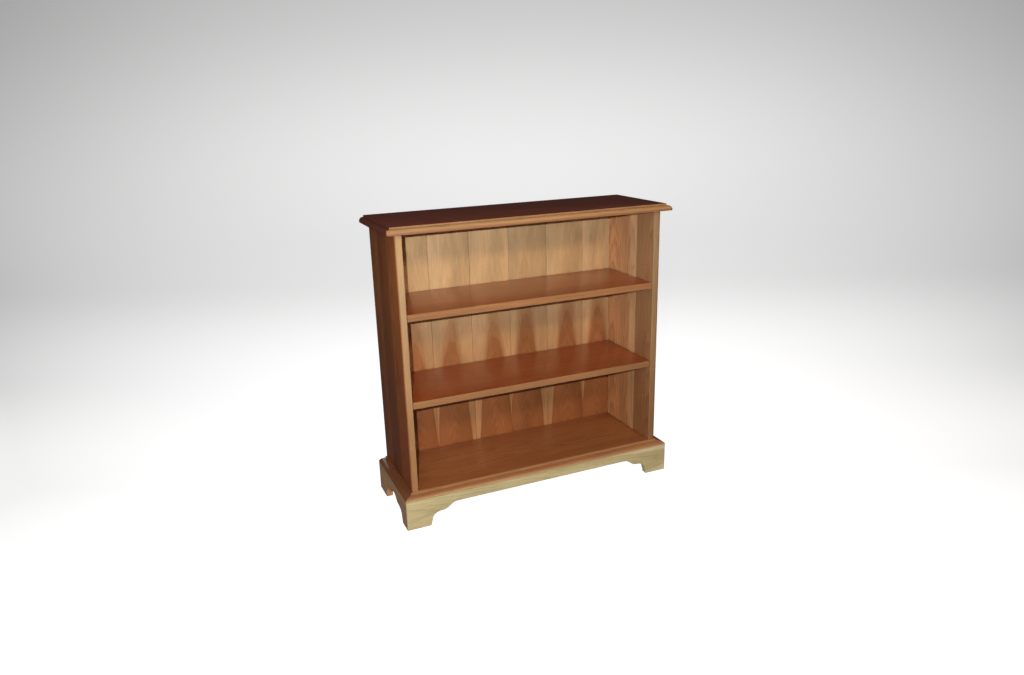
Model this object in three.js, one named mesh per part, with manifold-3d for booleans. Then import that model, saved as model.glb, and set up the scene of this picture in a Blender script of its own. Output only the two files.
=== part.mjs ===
// Low open bookcase with two adjustable shelves, built as a cabinet maker would:
// moulded top on dowels, two sides, a housed bottom board, a matched-board back,
// loose shelves on push-in pegs, and a mitred bracket plinth with a base moulding.
// Millimetres, +X to the right, +Y to the back, +Z up. The origin is on the floor,
// in the middle of the overall width and depth.

import * as THREE from 'three';
import { mergeVertices } from 'three/addons/utils/BufferGeometryUtils.js';
import Module from 'manifold-3d';

const wasm = await Module();
wasm.setup();

// ---------------------------------------------------------------- driving sizes

const carcassWidth = 865; // over the two sides
const carcassDepth = 287; // front edge to back edge of a side
const caseHeight = 892.5; // floor to the underside of the top
const boardThickness = 21; // sides, shelves and bottom board
const topThickness = 21.5;
const topOverhang = 24.5; // of the nose, at the front
const topEndOverhang = 28.5; // of the nose, at both ends
const arris = 1.2; // small chamfer on a worked edge

const jointGap = 0.3; // between two fixed pieces that meet
const shelfEndGap = 1.5; // each end of a loose shelf
const shelfBackGap = 1.5;
const shelfSetback = 2; // shelf edge behind the front edges of the sides

const plinthProjection = 28.5; // plinth face in front of the carcass
const plinthThickness = 21;
const plinthHeight = 93; // floor to the joint under the base moulding
const railUnderside = 63.3; // floor to the straight lower edge of the plinth
const baseMouldHeight = 16; // its top is level with the bottom board
const housingDepth = 7; // bottom board let into the sides
const housingLip = 12; // side left standing below the housing

const footWidth = 75; // at the floor, on the front
const sideFootWidth = 54; // at the floor, the front foot of the two ends
const sideBackFootWidth = 75;
const footLean = 6; // the inner edge leans out this much up to the knee
const kneeHeight = 22;
const coveWidth = 34;
const coveHeight = 21;
const ogeeWidth = 48; // from the cove to the straight rail, on the front
const sideRailFlat = 10.5; // straight part between the two ogees on an end
const plinthRailHeight = 48; // back rail of the plinth, top to bottom

const noseEase = 1; // under the nose of the top moulding
const noseLand = 4; // upright part of the nose, below its round
const noseRound = 12; // height of the round
const filletInset = 13.5; // from the nose back to the square step above it
const filletHeight = 5;
const ledgeWidth = 2; // between the round and the step
const baseNoseDepth = 13; // the same moulding turned over, on the plinth
const baseNoseHeight = 8.5;
const baseNoseLift = 2;
const baseFilletSetback = 23.5;
const baseFilletHeight = 4.5;

const backThickness = 12;
const backRebateDepth = 13; // rebate in the sides and top that takes the back
const backRebateWidth = 8; // cut into the thickness of each side
const topRebateHeight = 12; // cut up into the top board
const backBoardCount = 6;
const backJointShift = 25; // the joints sit this far right of equal spacing
const tongueLength = 5;
const tongueThickness = 4;
const tongueClearance = 0.4; // tongue to groove, all round
const vJoint = 1.6;

const pegRadius = 2.5;
const pegInHole = 9.5;
const pegOut = 8; // part of the peg that carries the shelf
const pegHoleClearance = 0.2; // on the radius
const pegHoleDepth = 10;
const pegSeatGap = 0.3; // peg top to shelf underside
const holePitch = 38.1;
const lowestHole = 147; // above the bottom board
const holeFreeTop = 138; // no holes within this of the top
const holeColumnInset = 42; // from the front edge, and from the back boards
const lowerShelfShare = 0.23; // which hole row each shelf stands on
const upperShelfShare = 0.77;
const roundSides = 12;

const dowelRadius = 4;
const dowelLength = 30;
const dowelInTop = 15;
const dowelEndInset = 48; // first and last dowel from the ends of the side

const backScrew = { radius: 1.75, headRadius: 3.6, headHeight: 2.4, length: 28 };
const blockScrew = { radius: 2.2, headRadius: 4.2, headHeight: 3, length: 50 };
const screwClearance = 0.2;
const blockSize = 35; // glue block, square on plan
const blockLift = 4; // block kept up off the floor
const blockScrewGrip = 24; // length of screw that goes up into the side
const counterboreRadius = 5;

// ---------------------------------------------------------------- derived levels

const overallWidth = carcassWidth + 2 * plinthProjection;
const overallDepth = carcassDepth + plinthProjection;
const carcassHalf = carcassWidth / 2;
const innerHalf = carcassHalf - boardThickness;
const frontFace = -overallDepth / 2 + plinthProjection;
const backEdge = overallDepth / 2;
const backFace = backEdge - backRebateDepth; // front of the back boards
const bottomTop = plinthHeight + baseMouldHeight;
const bottomUnderside = bottomTop - boardThickness;
const sideBase = bottomUnderside - housingLip;
const firstHoleHeight = bottomTop + lowestHole;
const holeRows = Math.floor((caseHeight - holeFreeTop - firstHoleHeight) / holePitch) + 1;
const holeHeights = Array.from({ length: holeRows }, (_, row) => firstHoleHeight + row * holePitch);
const lowerRow = Math.round((holeRows - 1) * lowerShelfShare);
const upperRow = Math.round((holeRows - 1) * upperShelfShare);
const holeDepths = [frontFace + holeColumnInset, backFace - holeColumnInset];

const bookcase = new THREE.Group();

// ---------------------------------------------------------------- materials

const finishes = {
  top: { color: 0x46281f, roughness: 0.32, metalness: 0 },
  side: { color: 0x7a4c2e, roughness: 0.4, metalness: 0 },
  shelf: { color: 0x8a5230, roughness: 0.36, metalness: 0 },
  back: { color: 0xb98352, roughness: 0.45, metalness: 0 },
  moulding: { color: 0xa06a3e, roughness: 0.38, metalness: 0 },
  plinth: { color: 0xb9a57a, roughness: 0.45, metalness: 0 },
  block: { color: 0xc9ab7d, roughness: 0.75, metalness: 0 },
  steel: { color: 0x9a9a98, roughness: 0.35, metalness: 1 },
};

function addPiece(name, geometry, finish, position = [0, 0, 0]) {
  const mesh = new THREE.Mesh(geometry, new THREE.MeshStandardMaterial(finishes[finish]));
  mesh.name = name;
  mesh.position.set(...position);
  bookcase.add(mesh);
  return mesh;
}

// ---------------------------------------------------------------- solids

// A closed geometry as a manifold solid, for cutting and joining.
function solidOf(geometry) {
  const bare = geometry.clone();
  bare.deleteAttribute('normal');
  bare.deleteAttribute('uv');
  const merged = mergeVertices(bare, 1e-4);
  return new wasm.Manifold(new wasm.Mesh({
    numProp: 3,
    vertProperties: new Float32Array(merged.attributes.position.array),
    triVerts: new Uint32Array(merged.index.array),
  }));
}

function geometryOf(solid) {
  const mesh = solid.getMesh();
  const geometry = new THREE.BufferGeometry();
  geometry.setAttribute('position', new THREE.BufferAttribute(mesh.vertProperties, 3));
  geometry.setIndex(new THREE.BufferAttribute(mesh.triVerts, 1));
  geometry.computeVertexNormals();
  return geometry;
}

function cut(geometry, cutters) {
  let solid = solidOf(geometry);
  for (const cutter of cutters) {
    solid = solid.subtract(solidOf(cutter));
  }
  return geometryOf(solid);
}

// A box between two corners.
function block(low, high) {
  const size = high.map((value, axis) => value - low[axis]);
  const centre = high.map((value, axis) => (value + low[axis]) / 2);
  return new THREE.BoxGeometry(...size).translate(...centre);
}

// A straight round cutter between two points on one axis.
function drill(axis, start, end, radius) {
  const length = Math.abs(end[axis] - start[axis]);
  const centre = start.map((value, index) => (value + end[index]) / 2);
  const round = new THREE.CylinderGeometry(radius, radius, length, roundSides);
  if (axis === 0) round.rotateZ(Math.PI / 2);
  if (axis === 2) round.rotateX(Math.PI / 2);
  return round.translate(...centre);
}

function outline(points) {
  return new THREE.Shape(points.map(([x, y]) => new THREE.Vector2(x, y)));
}

// A plan outline carried straight up from one height to another.
function upright(points, low, high) {
  const options = { depth: high - low, bevelEnabled: false };
  return new THREE.ExtrudeGeometry(outline(points), options).translate(0, 0, low);
}

// A closed skin through rings of matching points. The first and last ring are capped
// with the triangles of flat, the ring's own shape in two dimensions.
function loft(rings, flat) {
  const count = flat.length;
  const positions = rings.flat(2);
  const faces = [];
  for (let ring = 0; ring < rings.length - 1; ring += 1) {
    for (let point = 0; point < count; point += 1) {
      const next = (point + 1) % count;
      const a = ring * count + point;
      const b = ring * count + next;
      faces.push([a, b, b + count], [a, b + count, a + count]);
    }
  }
  const corners = flat.map(([x, y]) => new THREE.Vector2(x, y));
  const last = (rings.length - 1) * count;
  const turn = THREE.ShapeUtils.isClockWise(corners) ? -1 : 1;
  for (const [a, b, c] of THREE.ShapeUtils.triangulateShape(corners, [])) {
    faces.push(turn > 0 ? [a, c, b] : [a, b, c]);
    faces.push(turn > 0 ? [a + last, b + last, c + last] : [a + last, c + last, b + last]);
  }
  const point = (index) => new THREE.Vector3(...positions.slice(3 * index, 3 * index + 3));
  const volume = faces.reduce(
    (sum, [a, b, c]) => sum + point(a).dot(point(b).cross(point(c))), 0);
  const outward = volume > 0 ? faces : faces.map(([a, b, c]) => [a, c, b]);
  const geometry = new THREE.BufferGeometry();
  geometry.setAttribute('position', new THREE.Float32BufferAttribute(positions, 3));
  geometry.setIndex(outward.flat());
  geometry.computeVertexNormals();
  return geometry;
}

// Points on a quarter or half ellipse, from one angle to another, in degrees.
function ellipsePoints(centre, radii, from, to, steps) {
  return Array.from({ length: steps + 1 }, (_, step) => {
    const angle = THREE.MathUtils.degToRad(from + ((to - from) * step) / steps);
    return [centre[0] + radii[0] * Math.cos(angle), centre[1] + radii[1] * Math.sin(angle)];
  });
}

// ---------------------------------------------------------------- moulded top

// Section of the top's edge as [distance out, height above the underside]: a nose that
// is upright below and rounds back above, a narrow ledge, and a square step.
function topSection() {
  const stepOut = topOverhang - filletInset;
  const stepBase = topThickness - filletHeight;
  const roundBack = stepOut + ledgeWidth;
  const round = ellipsePoints([roundBack, noseLand], [topOverhang - roundBack, noseRound], 0, 90, 8);
  return [
    [topOverhang - noseEase, 0],
    [topOverhang, noseEase],
    ...round,
    [stepOut, stepBase],
    [stepOut, topThickness],
  ];
}

function topBoard() {
  const rings = topSection().map(([out, height]) => {
    const side = carcassHalf + out + topEndOverhang - topOverhang;
    const front = frontFace - out;
    const level = caseHeight + height;
    return [[-side, front, level], [side, front, level], [side, backEdge, level], [-side, backEdge, level]];
  });
  const slab = loft(rings, [[-1, -1], [1, -1], [1, 1], [-1, 1]]);
  const rebateHalf = innerHalf + backRebateWidth;
  const rebate = block(
    [-rebateHalf, backFace, caseHeight - 1],
    [rebateHalf, backEdge + 1, caseHeight + topRebateHeight]);
  return cut(slab, [rebate, ...dowelHoles(), ...backScrewHoles(topScrewHeight)]);
}

// ---------------------------------------------------------------- sides

const dowelDepths = [0, 0.5, 1].map((share) => {
  const first = frontFace + dowelEndInset;
  return first + share * (backFace - dowelEndInset - first);
});
const dowelAcross = carcassHalf - boardThickness / 2;

function dowelHoles() {
  const below = dowelLength - dowelInTop + jointGap;
  const above = dowelInTop + jointGap;
  return [-1, 1].flatMap((hand) => dowelDepths.map((depth) => drill(
    2,
    [hand * dowelAcross, depth, caseHeight - below],
    [hand * dowelAcross, depth, caseHeight + above],
    dowelRadius + screwClearance)));
}

function pegHoles(hand) {
  return holeHeights.flatMap((height) => holeDepths.map((depth) => drill(
    0,
    [hand * (innerHalf - 1), depth, height],
    [hand * (innerHalf + pegHoleDepth), depth, height],
    pegRadius + pegHoleClearance)));
}

// Centre of the wood left outside the housing, where the block screws go up.
const blockScrewAcross = carcassHalf - (boardThickness - housingDepth) / 2;

function sideBoard(hand) {
  const outer = carcassHalf;
  const rebate = innerHalf + backRebateWidth;
  const plan = [
    [outer, frontFace + arris],
    [outer, backEdge],
    [rebate, backEdge],
    [rebate, backFace],
    [innerHalf, backFace],
    [innerHalf, frontFace + arris],
    [innerHalf + arris, frontFace],
    [outer - arris, frontFace],
  ].map(([x, y]) => [hand * x, y]);
  const board = upright(plan, sideBase, caseHeight - jointGap);
  const across = [hand * (innerHalf - 1), hand * (innerHalf + housingDepth)].sort((a, b) => a - b);
  const housing = block(
    [across[0], frontFace - 1, bottomUnderside - jointGap],
    [across[1], backEdge + 1, bottomTop + jointGap]);
  const pilots = blockDepths.map((depth) => drill(
    2,
    [hand * blockScrewAcross, depth, sideBase - 1],
    [hand * blockScrewAcross, depth, sideBase + blockScrewGrip + 1],
    blockScrew.radius + screwClearance));
  const dowels = dowelHoles().filter((_, index) => (index < dowelDepths.length) === (hand < 0));
  return cut(board, [housing, ...dowels, ...pilots, ...pegHoles(hand)]);
}

// ---------------------------------------------------------------- bottom and shelves

function bottomBoard() {
  const half = innerHalf + housingDepth - jointGap;
  const board = block([-half, frontFace, bottomUnderside], [half, backFace - jointGap, bottomTop]);
  return cut(board, backScrewHoles(bottomScrewHeight));
}

// A shelf is its end outline, with its two front arrises taken off, carried across.
function shelf(underside) {
  const half = innerHalf - shelfEndGap;
  const front = frontFace + shelfSetback;
  const back = backFace - shelfBackGap;
  const high = underside + boardThickness;
  const section = [
    [back, underside],
    [back, high],
    [front + arris, high],
    [front, high - arris],
    [front, underside + arris],
    [front + arris, underside],
  ];
  const ends = [-half, half].map((x) => section.map(([y, z]) => [x, y, z]));
  return loft(ends, section);
}

// ---------------------------------------------------------------- matched back boards

const backSpanHalf = innerHalf + backRebateWidth - jointGap;
const backPitch = (2 * backSpanHalf) / backBoardCount;
const backJoints = Array.from({ length: backBoardCount + 1 }, (_, joint) => {
  if (joint === 0) return -backSpanHalf;
  if (joint === backBoardCount) return backSpanHalf;
  return -backSpanHalf + joint * backPitch + backJointShift;
});
const bottomScrewHeight = bottomUnderside + boardThickness / 2;
const topScrewHeight = caseHeight + topRebateHeight / 2;
const backRear = backFace + backThickness;

function boardCentre(index) {
  return (backJoints[index] + backJoints[index + 1]) / 2;
}

function backScrewHoles(height) {
  const tip = backRear - backScrew.length - 1;
  return Array.from({ length: backBoardCount }, (_, index) => drill(
    1,
    [boardCentre(index), tip, height],
    [boardCentre(index), backRear + 1, height],
    backScrew.radius + screwClearance));
}

// Cone that sinks a screw head flush, widest at the back of the board.
function countersink(across, height) {
  const wide = backScrew.headRadius + screwClearance;
  const narrow = backScrew.radius + screwClearance;
  const cone = new THREE.CylinderGeometry(wide, narrow, backScrew.headHeight, roundSides);
  return cone.translate(across, backRear - backScrew.headHeight / 2, height);
}

function backBoard(index) {
  const left = backJoints[index] + (index > 0 ? jointGap / 2 : 0);
  const lastBoard = index === backBoardCount - 1;
  const right = backJoints[index + 1] - (lastBoard ? 0 : jointGap / 2);
  const face = backFace;
  const rear = backRear;
  const middle = (face + rear) / 2;
  const tongue = tongueThickness / 2;
  const groove = tongue + tongueClearance;
  const grooveDepth = tongueLength + tongueClearance;
  const rightEdge = lastBoard
    ? [[right, face], [right, rear]]
    : [
      [right - vJoint, face],
      [right, face + vJoint],
      [right, middle - tongue],
      [right + tongueLength, middle - tongue],
      [right + tongueLength, middle + tongue],
      [right, middle + tongue],
      [right, rear],
    ];
  const leftEdge = index === 0
    ? [[left, rear], [left, face]]
    : [
      [left, rear],
      [left, middle + groove],
      [left + grooveDepth, middle + groove],
      [left + grooveDepth, middle - groove],
      [left, middle - groove],
      [left, face + vJoint],
      [left + vJoint, face],
    ];
  const high = caseHeight + topRebateHeight - jointGap;
  const board = upright([...rightEdge, ...leftEdge], bottomUnderside, high);
  const heights = [bottomScrewHeight, topScrewHeight];
  const cutters = heights.flatMap((height) => [
    backScrewHoles(height)[index],
    countersink(boardCentre(index), height),
  ]);
  return cut(board, cutters);
}

// ---------------------------------------------------------------- plinth

// One bracket foot and its curve up to the rail, from the floor inwards: a leaning
// edge, a quarter-round cove, and an ogee that runs out level with the rail.
function footCurve(foot, ogee) {
  const kneeOut = foot + footLean;
  const coveCentre = [kneeOut + coveWidth, kneeHeight];
  const cove = ellipsePoints(coveCentre, [coveWidth, coveHeight], 180, 90, 5);
  const start = new THREE.Vector2(kneeOut + coveWidth, kneeHeight + coveHeight);
  const end = new THREE.Vector2(start.x + ogee, railUnderside);
  const pull = ogee * 0.42;
  const rise = new THREE.CubicBezierCurve(
    start,
    new THREE.Vector2(start.x + pull, start.y),
    new THREE.Vector2(end.x - pull, end.y),
    end);
  return [[foot, 0], ...cove, ...rise.getPoints(6).slice(1).map((point) => [point.x, point.y])];
}

// Outline of a plinth board seen from outside, from 0 to length along the floor, with
// the widths of its near and its far foot.
function bracketOutline(length, nearFoot, farFoot, ogee) {
  const near = footCurve(nearFoot, ogee);
  const far = footCurve(farFoot, ogee).map(([along, up]) => [length - along, up]).reverse();
  const top = plinthHeight - jointGap;
  return [[0, 0], ...near, ...far, [length, 0], [length, top], [0, top]];
}

function plinthFront() {
  const outerHalf = overallWidth / 2;
  const face = frontFace - plinthProjection;
  const points = bracketOutline(overallWidth, footWidth, footWidth, ogeeWidth);
  const ringAt = (inset, y) => points.map(([along, up]) => {
    const x = along - outerHalf;
    const end = Math.abs(Math.abs(x) - outerHalf) < 1e-9;
    return [end ? x - Math.sign(x) * (inset + jointGap) : x, y, up];
  });
  return loft([ringAt(0, face), ringAt(plinthThickness, face + plinthThickness)], points);
}

function plinthSide(hand) {
  const outer = hand * (overallWidth / 2);
  const feet = sideFootWidth + sideBackFootWidth;
  const ogee = (overallDepth - sideRailFlat - feet) / 2 - footLean - coveWidth;
  const points = bracketOutline(overallDepth, sideFootWidth, sideBackFootWidth, ogee);
  const front = frontFace - plinthProjection;
  const ringAt = (inset, x) => points.map(([along, up]) => {
    const mitre = along === 0 ? inset + jointGap : 0;
    return [x, front + along + mitre, up];
  });
  return loft([ringAt(0, outer), ringAt(plinthThickness, outer - hand * plinthThickness)], points);
}

function plinthBackRail() {
  const half = overallWidth / 2 - plinthThickness - jointGap;
  const high = sideBase - jointGap;
  return block([-half, backEdge - plinthThickness, high - plinthRailHeight], [half, backEdge, high]);
}

// Section of the base moulding as [distance out from the carcass, height above the
// plinth]: a rounded nose over the plinth face, a level ledge and a square step.
function baseSection() {
  const nose = ellipsePoints(
    [plinthProjection - baseNoseDepth, baseNoseLift], [baseNoseDepth, baseNoseHeight], 0, 90, 6);
  const stepOut = plinthProjection - baseFilletSetback;
  const stepBase = baseMouldHeight - baseFilletHeight;
  return [
    [jointGap, 0],
    [plinthProjection, 0],
    ...nose,
    [stepOut, stepBase],
    [stepOut, baseMouldHeight],
    [jointGap, baseMouldHeight],
  ];
}

function baseMouldFront() {
  const section = baseSection();
  const ends = [-1, 1].map((hand) => section.map(([out, up]) => [
    hand * (carcassHalf + out - jointGap), frontFace - out, plinthHeight + up]));
  return loft(ends, section);
}

function baseMouldSide(hand) {
  const section = baseSection();
  const mitre = section.map(([out, up]) => [
    hand * (carcassHalf + out), frontFace - out + jointGap, plinthHeight + up]);
  const rear = section.map(([out, up]) => [
    hand * (carcassHalf + out), backEdge, plinthHeight + up]);
  return loft([mitre, rear], section);
}

// ---------------------------------------------------------------- glue blocks

const blockFront = frontFace - plinthProjection + plinthThickness + jointGap;
const blockRear = backEdge - plinthThickness - jointGap;
const blockDepths = [blockFront + blockSize / 2, blockRear - blockSize / 2];
const blockTop = sideBase - jointGap;
const blockScrewSeat = sideBase + blockScrewGrip - blockScrew.length;

function glueBlock(hand, depth) {
  const outer = overallWidth / 2 - plinthThickness - jointGap;
  const across = [hand * outer, hand * (outer - blockSize)].sort((a, b) => a - b);
  const body = block(
    [across[0], depth - blockSize / 2, blockLift],
    [across[1], depth + blockSize / 2, blockTop]);
  const x = hand * blockScrewAcross;
  const shank = drill(2, [x, depth, blockLift - 1], [x, depth, blockTop + 1],
    blockScrew.radius + screwClearance);
  const counterbore = drill(2, [x, depth, blockLift - 1], [x, depth, blockScrewSeat], counterboreRadius);
  return cut(body, [shank, counterbore]);
}

// ---------------------------------------------------------------- pegs, dowels, screws

// Turned pieces are lathed on their own Y axis, from the near end to the far end.
function turned(profile) {
  const points = profile.map(([radius, along]) => new THREE.Vector2(radius, along));
  return new THREE.LatheGeometry(points, roundSides);
}

function chamferedPin(radius, length, chamfer) {
  return turned([
    [0, 0],
    [radius - chamfer, 0],
    [radius, chamfer],
    [radius, length - chamfer],
    [radius - chamfer, length],
    [0, length],
  ]);
}

// Point at 0, flat of the head at the full length.
function countersunkScrew({ radius, headRadius, headHeight, length }) {
  const taper = 3 * radius;
  return turned([
    [0, 0],
    [radius, taper],
    [radius, length - headHeight],
    [headRadius, length - 0.2],
    [headRadius, length],
    [0, length],
  ]);
}

// Flat-headed screw: a round head standing below its seat, point at the full length.
function seatedScrew({ radius, headRadius, headHeight, length }) {
  return turned([
    [0, -headHeight],
    [headRadius, -headHeight],
    [headRadius, -jointGap],
    [radius, -jointGap],
    [radius, length - 3 * radius],
    [0, length],
  ]);
}

// ---------------------------------------------------------------- assembly

const handNames = [[-1, 'left'], [1, 'right']];
const depthNames = ['front', 'back'];

addPiece('top_board', topBoard(), 'top');
for (const [hand, side] of handNames) {
  addPiece(`${side}_side`, sideBoard(hand), 'side');
}
addPiece('bottom_board', bottomBoard(), 'shelf');
for (let index = 0; index < backBoardCount; index += 1) {
  addPiece(`back_board_${index + 1}`, backBoard(index), 'back');
}

const shelfRows = [['upper', upperRow], ['lower', lowerRow]];
for (const [level, row] of shelfRows) {
  const pegHeight = holeHeights[row];
  addPiece(`${level}_shelf`, shelf(pegHeight + pegRadius + pegSeatGap), 'shelf');
  for (const [hand, side] of handNames) {
    depthNames.forEach((end, index) => {
      const peg = chamferedPin(pegRadius, pegInHole + pegOut, 0.5);
      const start = hand * (innerHalf - pegOut);
      const name = `${level}_peg_${side}_${end}`;
      const mesh = addPiece(name, peg, 'steel', [start, holeDepths[index], pegHeight]);
      mesh.rotation.z = (-hand * Math.PI) / 2;
    });
  }
}

addPiece('plinth_front', plinthFront(), 'plinth');
for (const [hand, side] of handNames) {
  addPiece(`plinth_${side}`, plinthSide(hand), 'plinth');
}
addPiece('plinth_back_rail', plinthBackRail(), 'block');
addPiece('base_mould_front', baseMouldFront(), 'moulding');
for (const [hand, side] of handNames) {
  addPiece(`base_mould_${side}`, baseMouldSide(hand), 'moulding');
}

for (const [hand, side] of handNames) {
  depthNames.forEach((end, index) => {
    const depth = blockDepths[index];
    addPiece(`glue_block_${side}_${end}`, glueBlock(hand, depth), 'block');
    const place = [hand * blockScrewAcross, depth, blockScrewSeat];
    const screw = addPiece(`block_screw_${side}_${end}`, seatedScrew(blockScrew), 'steel', place);
    screw.rotation.x = Math.PI / 2;
  });
  dowelDepths.forEach((depth, index) => {
    const place = [hand * dowelAcross, depth, caseHeight - (dowelLength - dowelInTop)];
    const dowel = chamferedPin(dowelRadius, dowelLength, 1);
    addPiece(`top_dowel_${side}_${index + 1}`, dowel, 'block', place).rotation.x = Math.PI / 2;
  });
}

for (let index = 0; index < backBoardCount; index += 1) {
  for (const [level, height] of [['top', topScrewHeight], ['bottom', bottomScrewHeight]]) {
    const place = [boardCentre(index), backRear - backScrew.length, height];
    addPiece(`back_screw_${level}_${index + 1}`, countersunkScrew(backScrew), 'steel', place);
  }
}

export default bookcase;
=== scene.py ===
import math
import bpy
import bmesh
import numpy as np
from mathutils import Matrix, Vector


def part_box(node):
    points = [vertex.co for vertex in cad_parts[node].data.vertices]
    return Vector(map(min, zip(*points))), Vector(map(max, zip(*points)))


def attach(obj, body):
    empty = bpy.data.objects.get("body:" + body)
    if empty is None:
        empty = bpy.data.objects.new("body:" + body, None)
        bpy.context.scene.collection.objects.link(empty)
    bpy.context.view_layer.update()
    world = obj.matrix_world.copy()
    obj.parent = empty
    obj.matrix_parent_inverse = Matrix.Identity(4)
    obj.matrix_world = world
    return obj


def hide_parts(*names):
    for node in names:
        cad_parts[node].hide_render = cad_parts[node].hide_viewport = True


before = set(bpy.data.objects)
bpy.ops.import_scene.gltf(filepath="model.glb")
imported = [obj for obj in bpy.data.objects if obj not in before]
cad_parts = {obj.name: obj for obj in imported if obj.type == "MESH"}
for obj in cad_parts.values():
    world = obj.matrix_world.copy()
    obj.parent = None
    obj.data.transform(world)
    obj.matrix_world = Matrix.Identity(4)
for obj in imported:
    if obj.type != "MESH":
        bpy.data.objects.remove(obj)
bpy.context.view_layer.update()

mm = 0.001
creaseAngle = 32.0  # degrees between faces that meet in a sharp edge
bpy.context.scene.view_settings.view_transform = "Standard"


# Shapes.

def inMetres(**sizes):  # sizes given in millimetres, alone or in tuples
    return {name: tuple(part * mm for part in size) if isinstance(size, tuple) else size * mm
            for name, size in sizes.items()}


def cornersOf(node):  # a part's lowest and highest corners, in metres
    low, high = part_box(node)
    return np.array(low), np.array(high)


def arc(start, end, steps):  # angles in radians, evenly spaced from start to end in degrees
    return np.radians(np.linspace(start, end, steps + 1))


def roundOff(radius, t):  # r (1 - sin t) and r (1 - cos t), how far a quarter round draws in
    return radius * (1 - np.sin(t)), radius * (1 - np.cos(t))


def ellipse(centre, radii, start, end, steps):  # centre + (a cos t, b sin t)
    t = arc(start, end, steps)
    return np.stack([centre[0] + radii[0] * np.cos(t), centre[1] + radii[1] * np.sin(t)], axis=1)


def gridFaces(rows, columns, wrap):  # quads between neighbouring points of a rows x columns grid
    index = np.arange(rows * columns).reshape(rows, columns)
    beside = np.roll(index, -1, axis=1)
    last = columns if wrap else columns - 1
    quads = np.stack([index[:-1, :last], beside[:-1, :last], beside[1:, :last], index[1:, :last]], axis=-1)
    return quads.reshape(-1, 4)


def setUp(name, data):  # a new object in the scene
    thing = bpy.data.objects.new(name, data)
    bpy.context.collection.objects.link(thing)
    return thing


def makePiece(name, body, node, finish, grid):
    # grid: rows x columns x 3 points, a tube round a solid whose ends are closed flat
    rows, columns = grid.shape[:2]
    faces = gridFaces(rows, columns, True).tolist()
    faces.append(np.arange(columns)[::-1].tolist())
    faces.append((np.arange(columns) + (rows - 1) * columns).tolist())
    mesh = bpy.data.meshes.new(name)
    mesh.from_pydata(grid.reshape(-1, 3).tolist(), [], faces)
    tidyMesh(mesh, creaseAngle)
    piece = setUp(name, mesh)
    mesh.materials.append(finish)
    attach(piece, body)
    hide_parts(node)
    return piece


def tidyMesh(mesh, angle):  # joins doubled points, turns faces outwards, smooths all but the creases
    work = bmesh.new()
    work.from_mesh(mesh)
    bmesh.ops.remove_doubles(work, verts=work.verts, dist=2e-6)
    bmesh.ops.dissolve_degenerate(work, edges=work.edges, dist=1e-6)
    bmesh.ops.recalc_face_normals(work, faces=work.faces)
    work.to_mesh(mesh)
    work.free()
    mesh.shade_smooth()
    mesh.set_sharp_from_angle(angle=math.radians(angle))


def easedBoard(low, high, ease, along, steps=4):
    # rounded rectangle carried along one axis: at each end it draws in by r(1 - cos t) and moves by r sin t
    sides = [axis for axis in range(3) if axis != along]
    t = arc(90, 0, steps)
    inset = np.concatenate([ease * (1 - np.cos(t)), ease * (1 - np.cos(t[::-1]))])
    ends = np.concatenate([low[along] + ease - ease * np.sin(t), high[along] - ease + ease * np.sin(t[::-1])])
    turns = np.concatenate([arc(quarter, quarter + 90, steps) for quarter in (0, 90, 180, 270)])
    signs = np.repeat(np.array([[1, 1], [-1, 1], [-1, -1], [1, -1]]), steps + 1, axis=0)
    grid = np.zeros((len(ends), len(turns), 3))
    grid[:, :, along] = ends[:, None]
    for place, axis in enumerate(sides):
        middle = (low[axis] + high[axis]) / 2
        half = (high[axis] - low[axis]) / 2
        wave = np.cos(turns) if place == 0 else np.sin(turns)
        corner = signs[:, place] * (half - ease)
        grid[:, :, axis] = middle + corner[None, :] + (ease - inset)[:, None] * wave[None, :]
    return grid


def turnedPiece(profile, centre, axis, direction=1, sides=32):
    # profile of (radius, distance) swept round an axis: centre + r cos a, r sin a, d
    profile = np.array(profile)
    a = np.linspace(0, 2 * np.pi, sides, endpoint=False)
    across = [other for other in range(3) if other != axis]
    grid = np.zeros((len(profile), sides, 3))
    grid[:, :, axis] = centre[axis] + direction * profile[:, 1:2]
    grid[:, :, across[0]] = centre[across[0]] + profile[:, 0:1] * np.cos(a)
    grid[:, :, across[1]] = centre[across[1]] + profile[:, 0:1] * np.sin(a)
    return grid


def sinkHoles(a, b, centres, cell, radii, depths):
    # Pulls the points of a flat grid onto circles round each centre. With m = max(|da|, |db|) / cell,
    # a point of the square ring m goes to radius R(m) at angle 45 (minor / major) degrees, depth D(m).
    levels = np.linspace(0, 1, len(radii) + 1)
    radii = np.append(radii, cell)
    depths = np.append(depths, 0.0)
    sunk = np.zeros_like(a)
    outA = a.copy()
    outB = b.copy()
    for centreA, centreB in centres:
        da = (a - centreA) / cell
        db = (b - centreB) / cell
        m = np.maximum(np.abs(da), np.abs(db))
        near = m < 1 - 1e-6
        m = m[near]
        da = da[near]
        db = db[near]
        major = np.maximum(np.abs(da), np.abs(db)) + 1e-12
        flat = np.abs(da) >= np.abs(db)
        lean = np.pi / 4 * np.where(flat, db, da) / major
        x = np.where(flat, np.sign(da) * np.cos(lean), np.sin(lean))
        y = np.where(flat, np.sin(lean), np.sign(db) * np.cos(lean))
        radius = np.interp(m, levels, radii)
        outA[near] = centreA + radius * x
        outB[near] = centreB + radius * y
        sunk[near] = np.interp(m, levels, depths)
    return outA, outB, sunk


def faceAndOutline(face, outline, levels):  # rows at each level: the flat face's points, then the outline's
    count = face.shape[1]
    grid = np.zeros((len(levels), count + len(outline), 3))
    grid[:, :count] = face
    grid[:, count:, :2] = outline
    grid[:, count:, 2] = levels[:, None]
    return grid


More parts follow.
